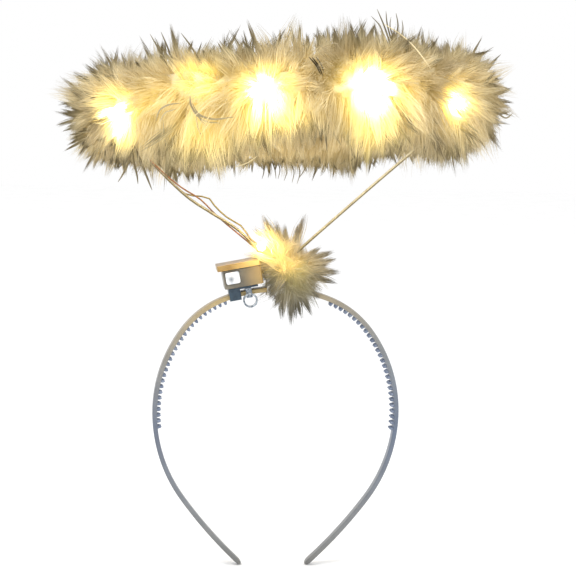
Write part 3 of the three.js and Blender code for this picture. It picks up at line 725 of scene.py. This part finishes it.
def make_ring_down(material):
    """The ring's marabou in four quarters, over a soft core that hides the hoop."""
    pieces = []
    for quarter in range(4):
        turn = (quarter + rng.uniform(0, 1, DOWN_TUFTS)) * pi / 2 + pi / 4
        lift = rng.uniform(-pi, pi, DOWN_TUFTS)
        room = (HALO_RADIUS + BOA_RADIUS * np.cos(lift)) / (HALO_RADIUS + BOA_RADIUS)
        keep = rng.uniform(0, 1, DOWN_TUFTS) < room
        turn, lift = turn[keep], lift[keep]
        thick = boa_radius(turn, lift)
        root = on_boa(turn, lift, thick * DOWN_ROOT)
        skin = on_boa(turn, lift, thick)
        normal = unit(skin - root)
        flow, pull = away_from_lights(skin, normal, RING_LIGHTS, PARTING)
        under = np.clip(-normal[:, 2:], 0, 1)
        near = near_side(skin)[:, None]
        hang = HANG + HANG_UNDER * under + near * (HANG_NEAR_UNDER * under ** 0.5 + HANG_NEAR * (1 - pull))
        stray = rng.normal(size=normal.shape) * RING_DOWN_STRAY
        heading = unit(normal + flow * pull * RING_PART - hang * [0, 0, 1] + stray)
        slant = np.clip(np.sum(heading * normal, axis=-1), 0.55, 1)
        growth = rng.gamma(*RING_DOWN_GROWTH, len(turn))
        length = thick * (1 - DOWN_ROOT) / slant + growth + ring_extra(skin, normal)
        curl = rng.normal(size=normal.shape) * RING_DOWN["curl"] + RING_DROOP
        shade = np.clip(ring_tone(skin) + rng.normal(size=len(turn)) * 0.13, 0, 1)
        pieces.append(tufts(f"ring_down_{quarter + 1}", root, normal, heading, length, curl, DOWN_BARBS,
                            material, RING_SOURCES, shade, 0.8 * ring_fringe(skin, normal), RING_DOWN))
    return pieces


def make_ring_locks(material):
    """Short pointed locks that stand out along the ring's top, underside and ends, darker than the rest with
    painted shade.
    """
    rim_turn = rng.uniform(-pi, pi, RIM_TUFTS)
    end_turn = rng.choice([-1, 1], END_TUFTS) * pi / 2 + rng.normal(size=END_TUFTS) * 0.2
    rim_lift = rng.choice([-1, 1], RIM_TUFTS) * pi / 2 + rng.normal(size=RIM_TUFTS) * 0.3
    end_lift = rng.normal(size=END_TUFTS) * 0.9
    turn, lift = np.concatenate([rim_turn, end_turn]), np.concatenate([rim_lift, end_lift])
    thick = boa_radius(turn, lift)
    root = on_boa(turn, lift, thick * LOCK_ROOT)
    skin = on_boa(turn, lift, thick)
    normal = unit(skin - root)
    heading = unit(normal + RING_DROOP + rng.normal(size=normal.shape) * RING_LOCK_STRAY)
    growth = rng.gamma(*RING_LOCK_GROWTH, len(turn))
    length = thick * (1 - LOCK_ROOT) + LOCK_EXTRA + ring_extra(skin, normal) + growth
    curl = rng.normal(size=normal.shape) * RING_LOCK["curl"]
    shade = np.full(len(turn), 0.7)
    return tufts("ring_locks", root, normal, heading, length, curl, RIM_BARBS, material, RING_SOURCES, shade,
                 np.ones(len(turn)), RING_LOCK)


def make_ring_core(material):
    """The uneven felt inside the ring's down, where the tufts are rooted."""
    rows, columns = CORE_GRID
    turn, lift = np.meshgrid(*(np.arange(count) / count * 2 * pi for count in CORE_GRID), indexing="ij")
    thick = boa_radius(turn, lift) * (CORE_SHARE + CORE_ROUGHNESS * rng.uniform(-1, 1, turn.shape))
    points = on_boa(turn, lift, thick)
    attributes = {
        "glow": glow_at(points, RING_SOURCES),
        "painted_shade": np.zeros(turn.shape),
        "shade": rng.uniform(0.3, 0.8, turn.shape),
    }
    faces = [grid_faces(rows, columns, True)]
    return add_mesh("ring_core", points.reshape(-1, 3), faces, material, True, attributes)


def puff_reach(direction):
    """How far the puff's plain form reaches from its centre, out to its farthest lobe."""
    reach = np.zeros(len(direction))
    for x, y, z, size in PUFF_LOBES:
        centre = np.array([x, y, z]) * PUFF_RADIUS
        along = direction @ centre
        spare = (size * PUFF_RADIUS) ** 2 - centre @ centre + along ** 2
        far = np.where(spare > 0, along + np.sqrt(np.maximum(spare, 0)), 0)
        reach = np.maximum(reach, far)
    return reach


def puff_depth(points):
    """0 in the puff's lit upper part to 1 in the grey painted shade of its underside."""
    return np.clip(0.36 - 0.06 * (points[:, 2] - PUFF_CENTRE[2]), 0, 1)


def hides_stem(root, heading, length):
    """Whether any place along each tuft lies in front of the part of the right stem that shows."""
    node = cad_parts["stem_right"]
    wire = np.array([tuple(node.matrix_world @ corner.co) for corner in node.data.vertices]) / MM
    wire = wire[wire[:, 2] > through(*STEM_SHOWS_FROM, 0)[2]]
    hidden = np.zeros(len(root), dtype=bool)
    for share in (0.3, 0.5, 0.7, 0.85, 1.0):
        gap = (root + heading * (length * share)[:, None])[:, None] - wire[None]
        beside = np.hypot(gap[..., 0], gap[..., 2])
        nearest = beside.argmin(axis=1)
        rows = np.arange(len(root))
        hidden |= (beside[rows, nearest] < STEM_ROOM) & (gap[rows, nearest, 1] < 0)
    return hidden


def make_puff(material):
    """The puff: a ball of soft tufts, with the larger locks that stand out of it."""
    direction = unit(rng.normal(size=(PUFF_TUFTS, 3)))
    reach = puff_reach(direction)
    root = PUFF_CENTRE + direction * (reach * PUFF_ROOT)[:, None]
    skin = PUFF_CENTRE + direction * reach[:, None]
    flow, pull = away_from_lights(skin, direction, PUFF_LIGHT[None], np.array([1.0]))
    stray = rng.normal(size=direction.shape) * PUFF_DOWN_STRAY
    heading = unit(direction + flow * pull * PUFF_PART + stray)
    length = reach * PUFF_LENGTH + rng.gamma(*PUFF_DOWN_GROWTH, PUFF_TUFTS)
    curl = rng.normal(size=direction.shape) * PUFF_DOWN["curl"] + PUFF_DROOP
    keep = ~hides_stem(root, heading, length)
    root, direction, skin, heading = root[keep], direction[keep], skin[keep], heading[keep]
    length, curl = length[keep], curl[keep]
    low = puff_depth(skin)
    shade = np.clip(1 - low + rng.normal(size=len(low)) * 0.1, 0, 1)
    puff = tufts("puff_down", root, direction, heading, length, curl, PUFF_BARBS, material,
                 PUFF_SOURCES, shade, 0.42 + 0.2 * low, PUFF_DOWN)
    tips = np.array([through(px, py, depth) for px, py, depth in PUFF_LOCKS])
    reach = np.linalg.norm(tips - PUFF_CENTRE, axis=-1)
    direction = unit(tips - PUFF_CENTRE)
    root = PUFF_CENTRE + direction * (reach * PUFF_LOCK_ROOT)[:, None]
    curl = rng.normal(size=direction.shape) * PUFF_LOCK["curl"]
    heading = direction - curl
    length = reach * (1 - PUFF_LOCK_ROOT)
    locks = tufts("puff_locks", root, direction, heading, length, curl, PUFF_LOCK_BARBS, material,
                  PUFF_SOURCES, 1 - puff_depth(tips), np.ones(len(tips)), PUFF_LOCK)
    return puff, locks


def on_near_side(px, py):
    """The point behind a pixel of the photograph on the fluff of the ring's near side, found step by step."""
    depth = -HALO_RADIUS
    for _ in range(5):
        x, _, z = through(px, py, depth)
        turn = np.arcsin((x - HALO_CENTRE[0]) / (HALO_RADIUS + BOA_RADIUS))
        centre = on_boa(turn, 0.0, 0.0)
        depth = centre[1] - np.sqrt(max((BOA_RADIUS + FLUFF_REACH) ** 2 - (z - centre[2]) ** 2, 0))
    return through(px, py, depth)


def make_strands(material):
    """Loose barbs and quills that stand out of the marabou, each through a few places of the photograph."""
    vertices, faces, glow, painted_shade, shade = [], [], [], [], []
    base = 0
    for depth, painted_shade_level, width, places in STRANDS:
        if depth is None:
            passed = [on_near_side(px, py) for px, py in places]
        else:
            passed = [through(px, py, depth) for px, py in places]
        # Thin at both ends
        taper = np.sin(pi * np.linspace(0.05, 0.98, STRAND_STEPS)) ** 0.6
        points, blocks = swept(spline(passed, STRAND_STEPS), width / 2 * taper, STRAND_SIDES)
        vertices.append(points)
        faces.extend(block + base for block in blocks)
        base += len(points)
        glow.append(glow_at(points, RING_SOURCES) * 0.5)
        painted_shade.append(np.full(len(points), painted_shade_level))
        shade.append(np.full(len(points), 0.8))
    attributes = {"glow": np.concatenate(glow), "painted_shade": np.concatenate(painted_shade), "shade": np.concatenate(shade)}
    return add_mesh("loose_strands", np.concatenate(vertices), faces, material, True, attributes)


# Band

def band_frame(distance):
    """Centreline points and outward directions at distances from the crown, negative to the left."""
    side = np.where(distance < 0, -1.0, 1.0)
    rest = np.abs(distance)
    x, z, heading = np.zeros_like(rest), np.full_like(rest, BAND_THICKNESS / 2), np.zeros_like(rest)
    for share, turn in BAND_ARCS:
        length = share * BAND_HALF_LENGTH
        run = np.minimum(rest, length)
        half = radians(turn) * run / length / 2
        chord = np.where(half > 0, run * np.sinc(half / pi), 0)
        x = x + chord * np.cos(heading + half)
        z = z - chord * np.sin(heading + half)
        heading = heading + 2 * half
        rest = rest - run
    x = x + rest * np.cos(heading)
    z = z - rest * np.sin(heading)
    centre = np.stack([side * x, np.zeros_like(x), z], axis=-1)
    out = np.stack([side * np.sin(heading), np.zeros_like(x), np.cos(heading)], axis=-1)
    return centre, out


def on_band(distance, across, outward):
    """Points at distances along the band, ways across it and ways out from its centreline."""
    centre, out = band_frame(distance)
    return centre + np.stack([0 * across, across, 0 * across], axis=-1) + out * outward[..., None]


def band_warmth(points):
    """How warmly the puff's light tints the band: most of all on the light's own side."""
    gap = np.linalg.norm(points - PUFF_LIGHT, axis=-1)
    left = points[:, 0] < 0
    return np.exp(-(gap / np.where(left, WARM_LEFT, WARM_RIGHT)) ** 2) * np.where(left, 1, WARM_RIGHT_SHARE)


def make_bar(material):
    """The band as a bar with soft edges and round ends."""
    tip = BAND_TIP_WIDTH / 2
    body = np.linspace(-BAND_HALF_LENGTH, BAND_HALF_LENGTH, BAND_STEPS)
    rounding = np.linspace(0, pi / 2, BAND_END_STEPS + 1)[1:] * BAND_END_SHARE
    end = BAND_HALF_LENGTH + tip * np.sin(rounding)
    distance = np.concatenate([-end[::-1], body, end])
    over = np.clip((np.abs(distance) - BAND_HALF_LENGTH) / tip, 0, 1)
    closing = np.sqrt(1 - over ** 2)
    width = np.interp(np.abs(distance), (0, BAND_HALF_LENGTH), (BAND_CROWN_WIDTH, BAND_TIP_WIDTH)) * closing
    corners = np.arange(BAND_SIDES)
    turn = corners / BAND_SIDES * 2 * pi
    across = np.sign(np.cos(turn)) * np.abs(np.cos(turn)) ** BAND_ROUNDNESS
    outward = np.sign(np.sin(turn)) * np.abs(np.sin(turn)) ** BAND_ROUNDNESS
    distances = np.repeat(distance[:, None], BAND_SIDES, axis=1)
    points = on_band(distances, width[:, None] / 2 * across, closing[:, None] * BAND_THICKNESS / 2 * outward)
    points = points.reshape(-1, 3)
    ends = np.array([corners[::-1], corners + (len(distance) - 1) * BAND_SIDES])
    faces = [grid_faces(len(distance), BAND_SIDES), ends]
    return add_mesh("band_bar", points, faces, material, True, {"warm": band_warmth(points)})


def tooth_points(distance, across):
    """Points of one comb tooth, ring by ring from its root in the band."""
    turn = np.arange(TOOTH_SIDES) / TOOTH_SIDES * 2 * pi
    rings = []
    for up, wide in TOOTH_PROFILE:
        radius = TOOTH_RADIUS * wide
        outward = -BAND_THICKNESS / 2 + TOOTH_ROOT - up * (TOOTH_HEIGHT + TOOTH_ROOT)
        along, over = distance + radius * np.cos(turn), across + radius * np.sin(turn)
        rings.append(on_band(along, over, np.full(TOOTH_SIDES, outward)))
    return np.concatenate(rings)


def make_teeth(material):
    """Two rows of comb teeth on each side of the band."""
    vertices, faces = [], []
    base = 0
    for side in (-1, 1):
        for index in range(int(TEETH_LENGTH / TOOTH_PITCH) + 1):
            for row in (-1, 1):
                distance = side * (TEETH_START + index * TOOTH_PITCH)
                vertices.append(tooth_points(distance, row * TOOTH_ROW_SHARE * BAND_CROWN_WIDTH))
                faces.append(grid_faces(len(TOOTH_PROFILE), TOOTH_SIDES)[:, ::-1] + base)
                faces.append((np.arange(TOOTH_SIDES) + base + (len(TOOTH_PROFILE) - 1) * TOOTH_SIDES)[None])
                base += len(vertices[-1])
    return add_mesh("band_teeth", np.concatenate(vertices), faces, material)


# The scene

def add_light(kind, name, place, energy):
    """A lamp of one kind at a place in metres."""
    data = bpy.data.lights.new(name, kind)
    data.energy = energy
    lamp = bpy.data.objects.new(name, data)
    lamp.location = place
    bpy.context.collection.objects.link(lamp)
    return lamp


def add_stage():
    """A pale paper floor, a white studio, two soft lamps and the small light in the puff."""
    material, tree, shader = new_material("floor_paper", Roughness=0.9)
    grain = ramp(tree, noise(tree, 30), ((0.3, (0.96, 0.96, 0.96)), (0.7, (0.99, 0.99, 0.99))))
    tree.links.new(grain, shader.inputs["Base Color"])
    bpy.ops.mesh.primitive_plane_add(size=6, location=(0, 0, cad_box[0][2] - 0.0003))
    floor = bpy.context.object
    floor.name = "floor"
    floor.data.materials.append(material)
    world = bpy.data.worlds.new("studio")
    world.use_nodes = True
    world.node_tree.nodes["Background"].inputs["Color"].default_value = (1, 1, 1, 1)
    world.node_tree.nodes["Background"].inputs["Strength"].default_value = 1.0
    bpy.context.scene.world = world
    for name, place, size, power in (("key", (-0.7, -1.0, 1.1), 0.8, 12), ("fill", (0.9, -0.7, 0.5), 1.0, 5)):
        lamp = add_light("AREA", name, place, power)
        lamp.data.size = size
        lamp.rotation_euler = (Vector((0, 0, 0.03)) - Vector(place)).to_track_quat("-Z", "Y").to_euler()
    glow = add_light("POINT", "puff_glow", (PUFF_LIGHT + (-2, -7, 3)) * MM, 0.012)
    glow.data.color = (1.0, 0.72, 0.32)
    glow.data.shadow_soft_size = 0.004
    bpy.context.scene.view_settings.view_transform = "Standard"


def dress(node, material, edge=0.0):
    """A node's material, and soft edges where it is moulded."""
    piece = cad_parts[node]
    for slot in piece.material_slots:
        slot.material = material
    if edge:
        weld = piece.modifiers.new("weld", "WELD")
        weld.merge_threshold = 0.01 * MM
        bevel = piece.modifiers.new("soft_edges", "BEVEL")
        bevel.width = edge * MM
        bevel.segments = 2
        bevel.angle_limit = radians(35)


add_camera()
add_stage()

# The tip colours are painted shade on the barbs' tips, and the dim colours are painted shade: grey-beige in
# the ring's creases, blue-grey under the puff
ring_down = down_material("marabou_ring", root=(0.97, 0.84, 0.53), middle=(0.86, 0.73, 0.47),
                          tip=(0.03, 0.019, 0.003), dim=(0.58, 0.55, 0.54))
puff_down = down_material("marabou_puff", root=(0.95, 0.82, 0.6), middle=(0.84, 0.71, 0.52),
                          tip=(0.035, 0.027, 0.018), dim=(0.33, 0.38, 0.48))
for piece in (*make_ring_down(ring_down), make_ring_locks(ring_down), make_ring_core(ring_down)):
    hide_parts("halo_boa")
for piece in make_puff(puff_down):
    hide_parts("feather_puff")
make_strands(ring_down)

teeth_plastic = plastic("teeth_plastic", (0.09, 0.12, 0.19), (0.22, 0.26, 0.35), 0.35, 300)
for piece in (make_bar(band_material()), make_teeth(teeth_plastic)):
    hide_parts("headband")

wire_coat = wire_material("wire_coat", (0.2, 0.15, 0.05), (0.78, 0.68, 0.42))
for node in ("stem_left", "stem_right", "halo_hoop"):
    dress(node, wire_coat)
dress("led_lead_gold", wire_material("lead_gold", (0.12, 0.08, 0.02), (0.6, 0.44, 0.12)))
dress("led_lead_red", wire_material("lead_red", (0.2, 0.05, 0.02), (0.55, 0.25, 0.08)))
dress("stem_binding", plastic("binding_tape", (0.5, 0.47, 0.42), (0.62, 0.6, 0.55), 0.8, 600, 0.1))
# Painted light where the puff's light falls on the case and its cover, and painted shade along the button's
# lower edge
case_warm = (through(270, 274, -9), 14, (0.5, 0.33, 0.1))
cover_warm = (through(262, 260, -9), 16, (0.85, 0.6, 0.2))
button_painted_shade = (through(231.5, 279.5, -9), 1.8, (0.16, 0.19, 0.23))
case_smoky = plastic("case_smoky", (0.11, 0.1, 0.075), (0.18, 0.16, 0.12), 0.3, 150, painted_patch=case_warm)
# The cover's amber is painted light: the puff's light on the same smoky plastic as the case
cover_smoky_painted_light = plastic("cover_smoky_painted_light", (0.3, 0.18, 0.05), (0.42, 0.27, 0.08), 0.3, 150, painted_patch=cover_warm)
button_white = plastic("button_white", (0.6, 0.64, 0.68), (0.85, 0.87, 0.9), 0.35, 350, painted_patch=button_painted_shade)
dress("battery_case", case_smoky, 0.35)
dress("case_cover", cover_smoky_painted_light, 0.5)
dress("power_button", button_white, 0.3)
# The wrap is dark tape; its dark pad under the case is also a painted shadow, filling the shade between case
# and band
dress("case_wrap", plastic("wrap_dark", (0.012, 0.03, 0.05), (0.03, 0.06, 0.09), 0.35, 300), 0.3)
dress("cable_tie", plastic("tie_clear", (0.05, 0.07, 0.1), (0.4, 0.45, 0.5), 0.12, 700), 0.2)
drop_glow = drop_material("light_drop", 0.2, (1, 0.86, 0.5), (1, 0.95, 0.75), 6)
for node in (*RING_LIGHT_NAMES, "led_bulb_puff"):
    dress(node, drop_glow)
# The second light lies deep in the fluff
buried_glow = drop_material("light_drop_buried", 0.5, (0.9, 0.7, 0.22), (0.95, 0.8, 0.35), 0.4,
                            base=(0.5, 0.4, 0.14))
dress("led_bulb_02", buried_glow)
